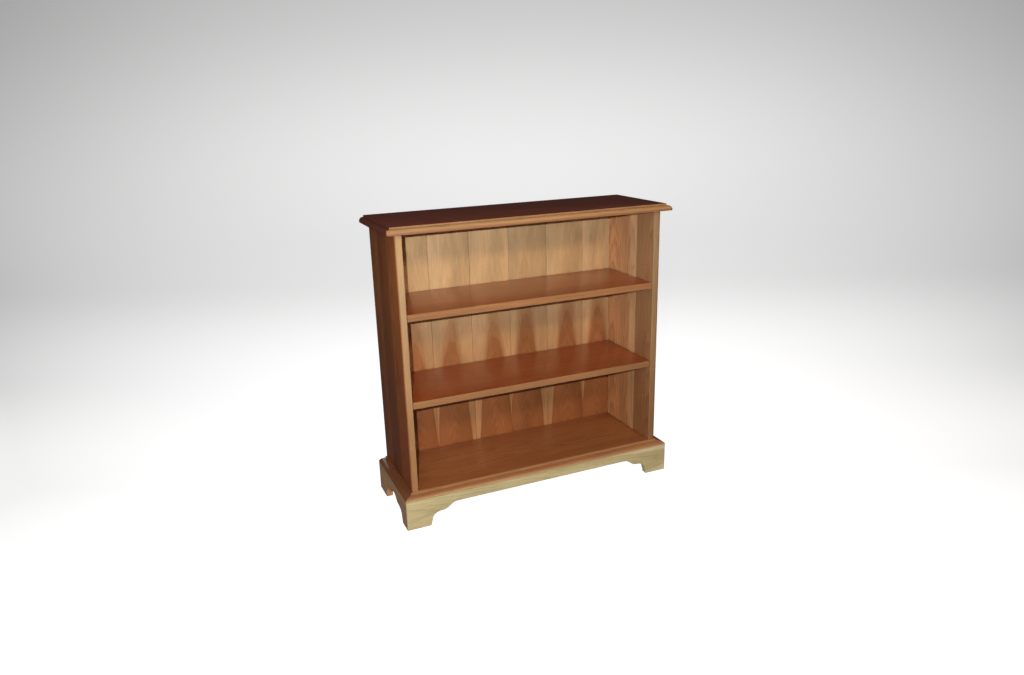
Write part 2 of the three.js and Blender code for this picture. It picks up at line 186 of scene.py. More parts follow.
def cellLines(centres, cell, steps):  # grid lines that cut each hole's cell into equal steps
    spread = np.linspace(-cell, cell, steps + 1)
    return (np.array(centres)[:, None] + spread[None, :]).ravel()


# Shader groups.

def rgb(red, green, blue):  # colour as seen on a display, 0 to 255, made linear
    share = np.array([red, green, blue]) / 255
    linear = np.where(share <= 0.04045, share / 12.92, ((share + 0.055) / 1.055) ** 2.4)
    return (*linear.tolist(), 1.0)


def feed(socket, value):  # a link from another socket, or a plain value
    if isinstance(value, bpy.types.NodeSocket):
        socket.id_data.links.new(value, socket)
    elif value is not None:
        socket.default_value = value


def newNode(tree, kind):
    return tree.nodes.new("ShaderNode" + kind)


def feedNode(kind, *values):  # a node whose first inputs take the values, in the tree of their sockets
    tree = next(value.id_data for value in values if isinstance(value, bpy.types.NodeSocket))
    node = newNode(tree, kind)
    for socket, value in zip(node.inputs, values):
        feed(socket, value)
    return node


def mathOf(operation, *values):
    node = feedNode("Math", *values)
    node.operation = operation
    return node.outputs[0]


def plus(first, second):
    return mathOf("ADD", first, second)


def minus(first, second):
    return mathOf("SUBTRACT", first, second)


def times(first, second):
    return mathOf("MULTIPLY", first, second)


def swingOf(value, size):  # (value - 1/2) size
    return times(minus(value, 0.5), size)


def vectorOf(operation, *values):
    node = feedNode("VectorMath", *values)
    node.operation = operation
    return node.outputs


def joined(x, y, z):
    return feedNode("CombineXYZ", x, y, z).outputs[0]


def split(vector):
    return feedNode("SeparateXYZ", vector).outputs


def noiseOf(vector, scale=1.0, detail=3.0, roughness=0.5):
    return feedNode("TexNoise", vector, None, scale, detail, roughness).outputs[0]


def eased(value, low, high, outLow=0.0, outHigh=1.0):  # smooth step between two values
    node = feedNode("MapRange", value, low, high, outLow, outHigh)
    node.interpolation_type = "SMOOTHSTEP"
    return node.outputs[0]


def blendOf(share, first, second, kind="MIX"):
    node = newNode(share.id_data, "Mix")
    node.data_type = "RGBA"
    node.blend_type = kind
    for place, value in ((0, share), (6, first), (7, second)):
        feed(node.inputs[place], value)
    return node.outputs[2]


def startGroup(name, inputs, outputs):
    group = bpy.data.node_groups.new(name, "ShaderNodeTree")
    for label, value in inputs.items():
        kind = {3: "NodeSocketVector", 4: "NodeSocketColor"}.get(np.size(value), "NodeSocketFloat")
        socket = group.interface.new_socket(label, in_out="INPUT", socket_type=kind)
        socket.default_value = value
    for label in outputs:
        kind = "NodeSocketColor" if label == "Colour" else "NodeSocketFloat"
        group.interface.new_socket(label, in_out="OUTPUT", socket_type=kind)
    entry = group.nodes.new("NodeGroupInput").outputs
    leave = group.nodes.new("NodeGroupOutput").inputs
    return group, entry, leave


figureMasks = ("Rings", "Radius", "Stave", "Fibre", "Pores", "Mottle", "Joint")
figureLooks = {  # the first five: how fine the pattern is across the grain, and along it
    "stroll": (5.0, 2.2),
    "ragged": (110.0, 5.0),
    "fibre": (620.0, 16.0),
    "pores": (1500.0, 70.0),
    "mottle": (16.0, 4.0),
    "raggedness": 0.004,  # metres
    "uneven": (90.0, 2.2),  # changes for each metre of radius, and their size in rings
    "lateWood": 2.6,  # higher gives thinner dark lines
    "ringEnd": 0.9,
    "poreShare": (0.62, 0.74),
    "glueLine": (0.0002, 0.0007),
    "chanceStep": 3.71,  # between neighbouring staves
    "chanceShift": 7.3,  # along the noise, for each unit of chance
}


def buildTimberFigure():
    # Position is (across, through, along) in metres from the middle of the board. Staves lie side by
    # side across it. Growth rings are circles round a pith behind each stave: r = |(x - p, y + d)|.
    tree, entry, leave = startGroup("timberFigure", {
        "Position": (0.0, 0.0, 0.0),
        "Stave Width": 0.14,
        "Stave Shift": 0.0,
        "Pith Depth": 0.08,  # behind the face, where along = 0
        "Taper": 0.0,  # metres deeper for each metre along
        "Bend": 0.0,  # the same, squared
        "Book Match": 0.0,  # pith to the left and right by turns, metres
        "Scatter": 0.3,  # how unlike each other the staves are
        "Wander": 0.02,  # how far the rings stray, metres
        "Ring Width": 0.0035,
        "Seed": 0.0,
    }, figureMasks)
    looks = figureLooks
    across, through, along = split(entry["Position"])
    stave = mathOf("DIVIDE", minus(across, entry["Stave Shift"]), entry["Stave Width"])
    number = mathOf("FLOOR", stave)
    offCentre = minus(minus(stave, number), 0.5)
    local = times(offCentre, entry["Stave Width"])
    chance = newNode(tree, "TexWhiteNoise")
    chance.noise_dimensions = "1D"
    feed(chance.inputs["W"], plus(times(number, looks["chanceStep"]), entry["Seed"]))
    first, second, third = split(chance.outputs["Color"])
    parity = mathOf("PINGPONG", number, 1.0)
    hand = minus(times(parity, 2.0), 1.0)
    match = times(hand, entry["Book Match"])
    stray = swingOf(first, entry["Scatter"])
    pith = plus(match, times(stray, entry["Stave Width"]))
    shift = times(plus(second, entry["Seed"]), looks["chanceShift"])

    def drawnOut(beside, fine, long):  # noise coordinates squeezed across the grain
        return joined(times(beside, fine), times(through, fine),
                      plus(times(along, long), shift))

    stroll = swingOf(noiseOf(drawnOut(local, *looks["stroll"]), 1.0, 2.0), entry["Wander"])
    ragged = swingOf(noiseOf(drawnOut(across, *looks["ragged"])), looks["raggedness"])
    reach = plus(times(along, entry["Taper"]),
                   times(times(along, along), entry["Bend"]))
    spread = swingOf(third, entry["Scatter"])
    depth = times(entry["Pith Depth"], plus(spread, 1.0))
    depth = plus(plus(depth, reach), plus(stroll, through))
    sideways = minus(local, pith)
    radius = mathOf("SQRT", plus(times(sideways, sideways), times(depth, depth)))
    radius = plus(radius, ragged)
    turn = mathOf("DIVIDE", radius, entry["Ring Width"])
    changes, size = looks["uneven"]
    uneven = noiseOf(joined(times(radius, changes), first, second), 1.0, 1.0)
    uneven = times(uneven, size)
    phase = mathOf("FRACT", plus(turn, uneven))
    late = mathOf("POWER", phase, looks["lateWood"])
    fall = eased(phase, looks["ringEnd"], 1.0, 1.0, 0.0)
    feed(leave["Rings"], times(late, fall))
    feed(leave["Radius"], radius)
    feed(leave["Stave"], third)
    feed(leave["Fibre"], noiseOf(drawnOut(across, *looks["fibre"]), 1.0, 4.0, 0.6))
    vessels = noiseOf(drawnOut(across, *looks["pores"]), 1.0, 1.0)
    feed(leave["Pores"], eased(vessels, *looks["poreShare"]))
    feed(leave["Mottle"], noiseOf(drawnOut(across, *looks["mottle"]), 1.0, 3.0, 0.55))
    rim = minus(0.5, mathOf("ABSOLUTE", offCentre))
    rim = times(rim, entry["Stave Width"])
    feed(leave["Joint"], eased(rim, *looks["glueLine"], 1.0, 0.0))
    return tree


colourLooks = {
    "heartLine": (1.2, 0.5),  # dark line at the heart's edge: width in softnesses, strength
    "sapRings": 0.55,  # how much the rings fade in sapwood
    "glueLine": 0.35,
    "fibreShine": 0.12,
    "mottleShine": 0.2,
    "fibreHeight": 0.35,
    "ringHeight": 0.4,
}


def buildTimberColour():
    # Heartwood inside a radius, sapwood outside it, darkened by rings, fibre, pores and glue lines.
    tree, entry, leave = startGroup("timberColour", {
        **dict.fromkeys(figureMasks, 0.0),
        "Band": 0.0,  # masks: extra sapwood, worn edges, and painted shade in corners and crevices
        "Wear": 0.0,
        "Crevice Shade": 0.0,
        "Heart Radius": 0.09,
        "Heart Softness": 0.004,
        "Heart": rgb(150, 90, 50),
        "Sap": rgb(200, 165, 110),
        "Ring Tint": rgb(110, 55, 25),
        "Rubbed": rgb(190, 140, 95),
        "Ring Strength": 0.45,
        "Fibre Strength": 0.35,
        "Stave Strength": 0.25,
        "Mottle Strength": 0.3,
        "Pore Strength": 0.4,
        "Crevice Strength": 0.6,
        "Shine": 0.35,
    }, ("Colour", "Roughness", "Height"))
    looks = colourLooks
    past = minus(entry["Radius"], entry["Heart Radius"])
    soft = entry["Heart Softness"]
    sap = eased(past, times(soft, -1.0), soft)
    sap = mathOf("MAXIMUM", sap, entry["Band"])
    colour = blendOf(sap, entry["Heart"], entry["Sap"])
    width, strength = looks["heartLine"]
    line = mathOf("ABSOLUTE", plus(past, soft))
    line = eased(line, 0.0, times(soft, width), strength, 0.0)
    colour = blendOf(times(line, entry["Ring Strength"]), colour, entry["Ring Tint"],
                     "MULTIPLY")
    ring = times(entry["Rings"], entry["Ring Strength"])
    ring = times(ring, minus(1.0, times(sap, looks["sapRings"])))
    colour = blendOf(ring, colour, entry["Ring Tint"], "MULTIPLY")
    for tone in ("Fibre", "Stave", "Mottle"):
        swing = swingOf(entry[tone], entry[tone + " Strength"])
        lift = plus(times(swing, 2.0), 1.0)
        colour = vectorOf("MULTIPLY", colour, joined(lift, lift, lift))[0]
    dark = times(entry["Pores"], entry["Pore Strength"])
    dark = mathOf("MAXIMUM", dark, times(entry["Joint"], looks["glueLine"]))
    colour = blendOf(dark, colour, entry["Ring Tint"], "MULTIPLY")
    colour = blendOf(entry["Wear"], colour, entry["Rubbed"])
    # painted shade: crevices darken towards the ring tint
    colour = blendOf(times(entry["Crevice Shade"], entry["Crevice Strength"]), colour,
                     entry["Ring Tint"], "MULTIPLY")
    feed(leave["Colour"], colour)
    gloss = plus(entry["Shine"], times(entry["Fibre"], looks["fibreShine"]))
    gloss = plus(gloss, swingOf(entry["Mottle"], looks["mottleShine"]))
    feed(leave["Roughness"], gloss)
    height = minus(times(entry["Fibre"], looks["fibreHeight"]), entry["Pores"])
    feed(leave["Height"], minus(height, times(entry["Rings"], looks["ringHeight"])))
    return tree


wearLooks = {
    "bevel": 1.4 * mm,
    "lean": (0.99, 0.86),  # cosine of the lean where rubbing starts, and where it is full
    "patchScale": 45.0,
    "patch": (0.35, 0.7, 0.25, 1.0),
    "openAir": (0.9, 0.3),  # share of open air where a crevice's painted shade starts, and where it is full
}


def buildEdgeWearAndShade():
    # Rubbed arrises: where the surface normal, averaged over a small reach, leans off the true one.
    # Crevices: painted shade, darkest where nearby surfaces shut the open air out.
    tree, entry, leave = startGroup("edgeWearAndShade", {
        "Amount": 0.5,
        "Reach": 7 * mm,  # how far the painted shade in a crevice reaches
        "Position": (0.0, 0.0, 0.0),
    }, ("Wear", "Crevice Shade"))
    looks = wearLooks
    rounded = newNode(tree, "Bevel")
    rounded.samples = 4
    rounded.inputs["Radius"].default_value = looks["bevel"]
    true = newNode(tree, "NewGeometry")
    lean = vectorOf("DOT_PRODUCT", rounded.outputs[0], true.outputs["Normal"])["Value"]
    lean = eased(lean, *looks["lean"])
    patch = eased(noiseOf(entry["Position"], looks["patchScale"]), *looks["patch"])
    air = newNode(tree, "AmbientOcclusion")
    air.samples = 6
    feed(air.inputs["Distance"], entry["Reach"])
    shut = eased(air.outputs["AO"], *looks["openAir"])
    rub = times(times(lean, patch), entry["Amount"])
    feed(leave["Wear"], times(rub, minus(1.0, shut)))
    feed(leave["Crevice Shade"], times(shut, patch))
    return tree


timberFigure = buildTimberFigure()
timberColour = buildTimberColour()
edgeWearAndShade = buildEdgeWearAndShade()
print("shader groups built")


# Materials.

grainAlong = {"x": (1, 2, 0), "xFront": (2, 1, 0), "y": (0, 2, 1), "z": (0, 1, 2), "zSide": (1, 0, 2),
              "yEdge": (2, 0, 1)}  # which axis lies across, through and along the board


def placeGroup(tree, group, values):
    node = newNode(tree, "Group")
    node.node_tree = group
    for label, value in values.items():
        feed(node.inputs[label], value)
    return node.outputs


def startFinish(name):
    # a new material with its tree, its shader and a point of the object
    finish = bpy.data.materials.new(name)
    finish.use_nodes = True
    tree = finish.node_tree
    return finish, tree, tree.nodes["Principled BSDF"], newNode(tree, "TexCoord").outputs["Object"]


def addRelief(tree, shader, height, strength, distance):
    relief = newNode(tree, "Bump")
    relief.inputs["Strength"].default_value = strength
    relief.inputs["Distance"].default_value = distance
    feed(relief.inputs["Height"], height)
    feed(shader.inputs["Normal"], relief.outputs[0])


timberLooks = {
    "stripeSoft": 0.003,  # fade at a stripe's long edges, at most
    "stripeEnd": 0.002,  # and at its ends
    "stripeWaves": 3.0,  # how often a stripe strays, for each metre
    "outsideFrom": 0.006,  # where the outer face's painted shade starts, measured from the board's middle plane
    "outsideTo": 0.0095,
    "relief": 0.25 * mm,
    "wear": 0.4,
}


def makeTimber(name, centre, grain, figure, colour, coat=0.3, coatRoughness=0.25, specular=0.5, bands=(),
               bump=0.12, blur=None, shade=None, outsideShade=None):
    # bands: (middle, half width, strength, half length, drift) of sapwood stripes, in metres: across the
    # board, strength 0 to 1, along it from its middle, and how far the stripe strays
    # blur: (low, high, softness low, softness high), the heart's edge along the board
    # shade: (low, high, tint), painted shade, a darkening tint at the low end that fades out along the board
    # the outer face's painted shade: (hand, tint), a darkening tint of the face on that hand
    looks = timberLooks
    finish, tree, shader, spot = startFinish(name)
    axes = split(vectorOf("SUBTRACT", spot, tuple(centre))[0])
    position = joined(*[axes[axis] for axis in grainAlong[grain]])
    drawn = placeGroup(tree, timberFigure, {"Position": position, **figure})
    wornAndShaded = placeGroup(tree, edgeWearAndShade, {"Amount": looks["wear"], "Position": position})
    stripe = 0.0
    sides = split(position)
    for middle, half, strength, reach, drift in bands:
        waves = joined(middle, 0.0, times(sides[2], looks["stripeWaves"]))
        stray = swingOf(noiseOf(waves, 1.0, 2.0), 2 * drift)
        away = minus(plus(stray, sides[0]), middle)
        soft = min(looks["stripeSoft"], half / 4)
        end = looks["stripeEnd"]
        inside = eased(mathOf("ABSOLUTE", away), half + soft, half - soft, 0.0, strength)
        within = eased(mathOf("ABSOLUTE", sides[2]), reach + end, reach - end)
        stripe = mathOf("MAXIMUM", stripe, times(inside, within))
    softness = {"Heart Softness": eased(sides[2], *blur)} if blur else {}
    painted = placeGroup(tree, timberColour, {
        **{label: drawn[label] for label in figureMasks}, "Band": stripe,
        **{label: wornAndShaded[label] for label in ("Wear", "Crevice Shade")}, **colour, **softness})
    paint = painted["Colour"]
    # painted shade: darker towards the low end of the board
    if shade:
        low, high, tint = shade
        paint = blendOf(eased(sides[2], low, high, 1.0, 0.0), paint, tint, "MULTIPLY")
    if outsideShade:
        hand, tint = outsideShade
        there = eased(times(sides[1], hand), looks["outsideFrom"], looks["outsideTo"])
        paint = blendOf(there, paint, tint, "MULTIPLY")
    feed(shader.inputs["Base Color"], paint)
    feed(shader.inputs["Roughness"], painted["Roughness"])
    addRelief(tree, shader, painted["Height"], bump, looks["relief"])
    feed(shader.inputs["Coat Weight"], coat)
    feed(shader.inputs["Coat Roughness"], coatRoughness)
    feed(shader.inputs["Specular IOR Level"], specular)
    return finish


steelLooks = {
    "grain": 1800.0,
    "stain": (420.0, 4.0),
    "stainShare": (0.5, 0.75),
    "dim": 0.72,  # the grain's darker tone
    "grainRough": 0.18,
    "stainRough": 0.4,
    "stainTint": rgb(92, 62, 44),
    "relief": (0.1, 0.1 * mm),
}


def makeSteel(name, tone, roughness, rust):
    # Turned metal: the tone mixes with a darker one by fine noise, and stains lie over it in patches.
    looks = steelLooks
    finish, tree, shader, spot = startFinish(name)
    grain = noiseOf(spot, looks["grain"])
    stain = eased(noiseOf(spot, *looks["stain"]), *looks["stainShare"], 0.0, rust)
    bright = blendOf(grain, tone, tuple(looks["dim"] * part for part in tone[:3]) + (1.0,))
    feed(shader.inputs["Base Color"], blendOf(stain, bright, looks["stainTint"]))
    rough = plus(times(grain, looks["grainRough"]), plus(times(stain, looks["stainRough"]), roughness))
    feed(shader.inputs["Roughness"], rough)
    addRelief(tree, shader, grain, *looks["relief"])
    feed(shader.inputs["Metallic"], 1.0)
    return finish


# Sizes read from the frame.

sideLow, sideHigh = cornersOf("right_side")
topLow, topHigh = cornersOf("top_board")
bottomLow, bottomHigh = cornersOf("bottom_board")
backLow, backHigh = cornersOf("back_board_1")
plinthLow, plinthHigh = cornersOf("plinth_front")
carcassHalf = sideHigh[0]
innerHalf = sideLow[0]
frontFace = sideLow[1]
backEdge = sideHigh[1]
backFace = backLow[1]
backRear = backHigh[1]
middleDepth = (frontFace + backEdge) / 2


# Top board.

topLooks = inMetres(
    noseEase=1,
    noseLand=4,  # upright part of the nose
    noseRound=12,  # height of the round above it
    ledgeWidth=2,
    ledge=13.5,  # from the nose back to the square step
    step=5,
    cornerEase=0.8,
    crestEase=0.6,
    rebateHeight=12,
    rebateWidth=8,
)


def topBoard():
    # Edge section (out, up): eased lower edge, upright land, quarter ellipse, narrow ledge, square step.
    # Each point of it is carried round the plan rectangle grown by "out", with small round corners.
    looks = topLooks
    overhang = frontFace - topLow[1]
    endExtra = topHigh[0] - carcassHalf - overhang
    height = topHigh[2] - topLow[2]
    stepOut = overhang - looks["ledge"]
    stepBase = height - looks["step"]
    roundBack = stepOut + looks["ledgeWidth"]
    ease = looks["noseEase"]
    under = ellipse((overhang - ease, ease), (ease, ease), -90, 0, 4)
    nose = ellipse((roundBack, looks["noseLand"]), (overhang - roundBack, looks["noseRound"]), 0, 90, 24)
    crestEase = looks["crestEase"]
    crest = ellipse((stepOut - crestEase, height - crestEase), (crestEase, crestEase), 0, 90, 4)
    section = np.concatenate([under, nose, [[stepOut, stepBase]], crest])
    level = looks["rebateHeight"]
    place = int(np.searchsorted(section[:, 1], level))
    share = (level - section[place - 1, 1]) / (section[place, 1] - section[place - 1, 1])
    ceiling = section[place - 1] + share * (section[place] - section[place - 1])
    section = np.concatenate([section[:place], [ceiling, ceiling], section[place:]])
    notched = np.arange(len(section)) <= place  # rings at or under the rebate's ceiling
    out, up = section[:, 0], section[:, 1]
    quarter = arc(180, 270, 5)
    corner = looks["cornerEase"]
    reachX = carcassHalf + endExtra + out
    frontY = frontFace - out
    left = np.stack([-reachX[:, None] + corner + corner * np.cos(quarter),
                     frontY[:, None] + corner + corner * np.sin(quarter)], axis=-1)
    right = left[:, ::-1] * np.array([-1, 1])
    notchX = np.full_like(out, innerHalf + looks["rebateWidth"])
    notchY = np.where(notched, backFace, backEdge)
    whole = np.full_like(out, backEdge)
    back = np.stack([np.stack(pair, axis=-1) for pair in (
        (reachX, whole), (notchX, whole), (notchX, notchY),
        (-notchX, notchY), (-notchX, whole), (-reachX, whole),
    )], axis=1)
    plan = np.concatenate([left, right, back], axis=1)
    grid = np.zeros((len(section), plan.shape[1], 3))
    grid[:, :, :2] = plan
    grid[:, :, 2] = (topLow[2] + up)[:, None]
    return grid


topFinish = makeTimber("topTimber", (0, middleDepth, topHigh[2]), "x", {
    "Stave Width": 0.104, "Stave Shift": 0.01, "Pith Depth": 0.07, "Taper": 0.012, "Wander": 0.03,
    "Ring Width": 0.004, "Scatter": 0.7, "Seed": 4.0,
}, {
    "Heart": rgb(122, 65, 50), "Sap": rgb(184, 144, 98), "Ring Tint": rgb(120, 66, 44),
    "Rubbed": rgb(196, 150, 100), "Heart Radius": 0.2, "Stave Strength": 0.12, "Mottle Strength": 0.2,
    # strong painted shade in the nose's quirk and other crevices
    "Crevice Strength": 0.9, "Shine": 0.4,
}, coat=0.03, coatRoughness=0.3, specular=0.2,
    bands=[(topLow[1] + 7 * mm - middleDepth, 0.0071, 0.9, 0.458, 0)])  # paler wood along the nose
topPiece = makePiece("moulded_top", "carcass", "top_board", topFinish, topBoard())
print("top board made")


# Sides.

sideLooks = inMetres(
    arris=1.3,
    holeRadius=2.7,
    holeDepth=10,
    holePitch=38.1,
    cell=6,
    housingDepth=7,
    housingPlay=0.3,
    rebateWidth=8,
) | {
    "rowsUnderLowerPeg": 3,
    "rowCount": 14,
    "holeRim": ((0, 0.5, 1, 1, 1.12), (1, 1, 1, 0.03, 0)),  # from the centre out: in radii, in depths
}


def sideBoard(hand):
    # Plan outline (inner face with holes, front edge, outer face, back edge, rebate) carried up. Each
    # arris is a quarter circle; the inner face steps out by the housing's depth over the bottom board.
    looks = sideLooks
    pegs = [np.mean(cornersOf("lower_peg_right_" + end), axis=0) for end in ("front", "back")]
    rows = pegs[0][2] + looks["holePitch"] * (np.arange(looks["rowCount"]) - looks["rowsUnderLowerPeg"])
    centres = [(peg[1], row) for row in rows for peg in pegs]
    cell, r = looks["cell"], looks["arris"]
    low, high = bottomLow[2] - looks["housingPlay"], bottomHigh[2] + looks["housingPlay"]
    levels = np.concatenate([[sideLow[2], low, low, high, high], cellLines(rows, cell, 10), [sideHigh[2]]])
    housed = np.zeros(len(levels), bool)
    housed[2:4] = True
    columns = cellLines([pegs[1][1], pegs[0][1]], cell, 10)
    inside = np.sort(np.concatenate([[backFace, frontFace + r], columns]))[::-1]
    frontIn = ellipse((innerHalf + r, frontFace + r), (r, r), 180, 270, 5)[1:]
    frontOut = ellipse((carcassHalf - r, frontFace + r), (r, r), 270, 360, 5)
    backOut = ellipse((carcassHalf - r / 2, backEdge - r / 2), (r / 2, r / 2), 0, 90, 3)
    rebate = innerHalf + looks["rebateWidth"]
    rest = np.concatenate([frontIn, frontOut, backOut, [[rebate, backEdge], [rebate, backFace]]])
    flatA, flatB = np.meshgrid(inside, levels)
    radii, depths = np.array(looks["holeRim"])
    flatA, flatB, sunk = sinkHoles(flatA, flatB, centres, cell, radii * looks["holeRadius"],
                                   depths * looks["holeDepth"])
    grid = faceAndOutline(np.stack([innerHalf + sunk, flatA, flatB], axis=2), rest, levels)
    grid[housed, :, 0] = np.maximum(grid[housed, :, 0], innerHalf + looks["housingDepth"])
    grid[:, :, 0] *= hand
    return grid


sideColours = {
    "Heart": rgb(205, 156, 110), "Sap": rgb(214, 184, 140), "Ring Tint": rgb(140, 84, 54),
    "Rubbed": rgb(226, 190, 140), "Heart Radius": 0.16, "Stave Strength": 0.3, "Shine": 0.34,
}
# painted shade: the outer faces of the sides are darker, as if less lit
outerShadeTint = (0.66, 0.39, 0.25, 1)
# painted shade: the sides darken towards the bottom
lowShadeTint = (0.78, 0.65, 0.55, 1)
sapStripes = {
    "left": [(0, 0.0025, 0.9, 1, 0)],
    "right": [(0, 0.0025, 0.9, 1, 0), (0.118, 0.02, 0.6, 1, 0.006)],
}
for hand, side in ((-1, "left"), (1, "right")):
    middle = (hand * (carcassHalf + innerHalf) / 2, frontFace, 0.5)
    sideFinish = makeTimber(side + "SideTimber", middle, "zSide", {
        "Stave Width": 0.098, "Pith Depth": 0.09, "Taper": 0.03, "Scatter": 0.9, "Wander": 0.03,
        "Ring Width": 0.0042, "Seed": 11.0 + hand,
    }, sideColours, coat=0.03, coatRoughness=0.3, specular=0.14, shade=(-0.35, 0.25, lowShadeTint),
        outsideShade=(hand, outerShadeTint), bands=sapStripes[side])
    sidePiece = makePiece(side + "_upright", "carcass", side + "_side", sideFinish, sideBoard(hand))
print("sides made")


# Bottom board and loose shelves.

shelfColours = {
    "Sap": rgb(180, 136, 92), "Ring Tint": rgb(140, 70, 38), "Rubbed": rgb(214, 174, 126),
    "Heart Radius": 0.2, "Stave Strength": 0.14, "Shine": 0.3,
}
boardEase = 1.2 * mm
boards = (  # CAD part, body, name, heartwood, varnish, its roughness
    ("bottom_board", "carcass", "housed_bottom", rgb(163, 102, 59), 0.4, 0.14),
    ("lower_shelf", "shelf_lower", "lower_loose_shelf", rgb(166, 84, 40), 0.5, 0.12),
    ("upper_shelf", "shelf_upper", "upper_loose_shelf", rgb(166, 76, 20), 0.62, 0.08),
)
for turn, (node, body, name, heart, varnish, haze) in enumerate(boards):
    low, high = cornersOf(node)
    boardFinish = makeTimber(name + "_timber", (0.1 * turn, (low[1] + high[1]) / 2, high[2]), "x", {
        "Stave Width": 0.092, "Stave Shift": 0.02 * turn, "Pith Depth": 0.06, "Taper": 0.02, "Scatter": 0.8,
        "Wander": 0.04, "Ring Width": 0.0045, "Seed": 21.0 + 5 * turn,
    }, {**shelfColours, "Heart": heart}, coat=varnish, coatRoughness=haze, specular=0.25,
        bands=[((low[1] - high[1]) / 2, 0.002, 0.8, 1, 0)])
    board = makePiece(name, body, node, boardFinish, easedBoard(low, high, boardEase, 0))
print("shelves made")


# Back boards.

backLooks = inMetres(
    vJoint=1.6,
    tongueLength=5,
    tongueThickness=4,
    clearance=0.4,
    ease=0.5,
    screwCell=5,
    sinkRadius=3.75,
    shankRadius=1.95,
    sinkDepth=2.4,
) | {
    "count": 6,
}


def backBoard(index):
    # Plan outline of a V-jointed, tongued and grooved board carried up; the rear face takes two
    # countersinks, whose radius falls from the head's to the shank's while their depth grows.
    looks = backLooks
    left, right = cornersOf("back_board_%d" % (index + 1))
    lastBoard = index == looks["count"] - 1
    start = left[0]
    end = right[0] - (0 if lastBoard else looks["tongueLength"])
    middle = (backFace + backRear) / 2
    v = looks["vJoint"]
    tongue = looks["tongueThickness"] / 2
    groove = tongue + looks["clearance"]
    deep = looks["tongueLength"] + looks["clearance"]
    ease = looks["ease"]
    outer = end + looks["tongueLength"]
    rightSide = [[end, backRear], [end, backFace]] if lastBoard else [
        [end, backRear], [end, middle + tongue], [outer, middle + tongue], [outer, middle - tongue],
        [end, middle - tongue], [end, backFace + v],
        [end - v + 0.4 * ease, backFace + 0.4 * ease], [end - v - ease, backFace]]
    leftSide = [[start, backFace], [start, backRear]] if index == 0 else [
        [start + v + ease, backFace], [start + v - 0.4 * ease, backFace + 0.4 * ease], [start, backFace + v],
        [start, middle - groove], [start + deep, middle - groove], [start + deep, middle + groove],
        [start, middle + groove], [start, backRear]]
    screws = [np.mean(cornersOf("back_screw_%s_%d" % (level, index + 1)), axis=0)
              for level in ("bottom", "top")]
    cell = looks["screwCell"]
    across = cellLines([screws[0][0]], cell, 10)
    levels = np.concatenate([[left[2]], cellLines([screw[2] for screw in screws], cell, 10), [right[2]]])
    flatA, flatB, sunk = sinkHoles(
        *np.meshgrid(across, levels), [(screw[0], screw[2]) for screw in screws], cell,
        np.array([0, looks["shankRadius"], looks["shankRadius"], looks["sinkRadius"], looks["sinkRadius"]]),
        np.array([4, 4, 1, 0.04, 0]) * looks["sinkDepth"])
    rest = np.array(rightSide + leftSide)
    return faceAndOutline(np.stack([flatA, backRear - sunk, flatB], axis=2), rest, levels)


firstJoint = cornersOf("back_board_2")[0][0]
pitch = cornersOf("back_board_3")[0][0] - firstJoint
# painted shade: the back darkens towards the bottom, as the lower compartments fall in shade
backFinish = makeTimber("backTimber", (firstJoint, backFace, 0), "z", {
    "Stave Width": pitch, "Pith Depth": 0.0531, "Taper": 0.0869, "Bend": -0.04, "Book Match": 0.009,
    "Scatter": 0.06, "Wander": 0.006, "Ring Width": 0.003, "Seed": 3.0,
}, {
    "Heart": rgb(174, 124, 78), "Sap": rgb(208, 174, 127), "Ring Tint": rgb(168, 100, 58),
    "Rubbed": rgb(216, 178, 126), "Heart Radius": 0.09, "Shine": 0.38, "Stave Strength": 0.1,
    "Mottle Strength": 0.5, "Ring Strength": 0.3,
}, blur=(0.3, 0.6, 0.0024, 0.008), shade=(0.2, 0.72, (0.78, 0.58, 0.48, 1)))
for index in range(backLooks["count"]):
    name = "back_board_%d" % (index + 1)
    backPiece = makePiece("matched_" + name, "carcass", name, backFinish, backBoard(index))
print("back made")


# Pegs and screws.

pegFinish = makeSteel("pegSteel", rgb(176, 172, 164), 0.24, 0.12)
screwFinish = makeSteel("screwSteel", rgb(150, 146, 138), 0.3, 0.5)
metalLooks = inMetres(
    pegRound=0.9,
    recessDepth=1.3,
    recessReach=2.1,
    armWidth=0.42,
    pointAt=(1.6, 5.2),
    neck=2.4,  # from the top of the head down
    rim=(0.25, 0.1, 0.15),
) | {
    "armEdge": 1.6,  # higher widens the cross
    "screwSides": 48,
    "shankShare": 0.49,  # of the head's radius
    "blunt": 0.4,  # point, as a share of the shank
}


def pegPin(node):  # a pin with rounded ends: r - e (1 - sin t), d = e (1 - cos t)
    low, high = cornersOf(node)
    radius = (high[2] - low[2]) / 2
    length = high[0] - low[0]
    inner, outer = roundOff(metalLooks["pegRound"], arc(0, 90, 6))
    near = np.stack([radius - inner, outer], axis=1)
    far = np.stack([near[::-1, 0], length - near[::-1, 1]], axis=1)
    middle = (low + high) / 2
    profile = np.concatenate([[[0, 0]], near, far, [[0, length]]])
    return turnedPiece(profile, (low[0], middle[1], middle[2]), 0)


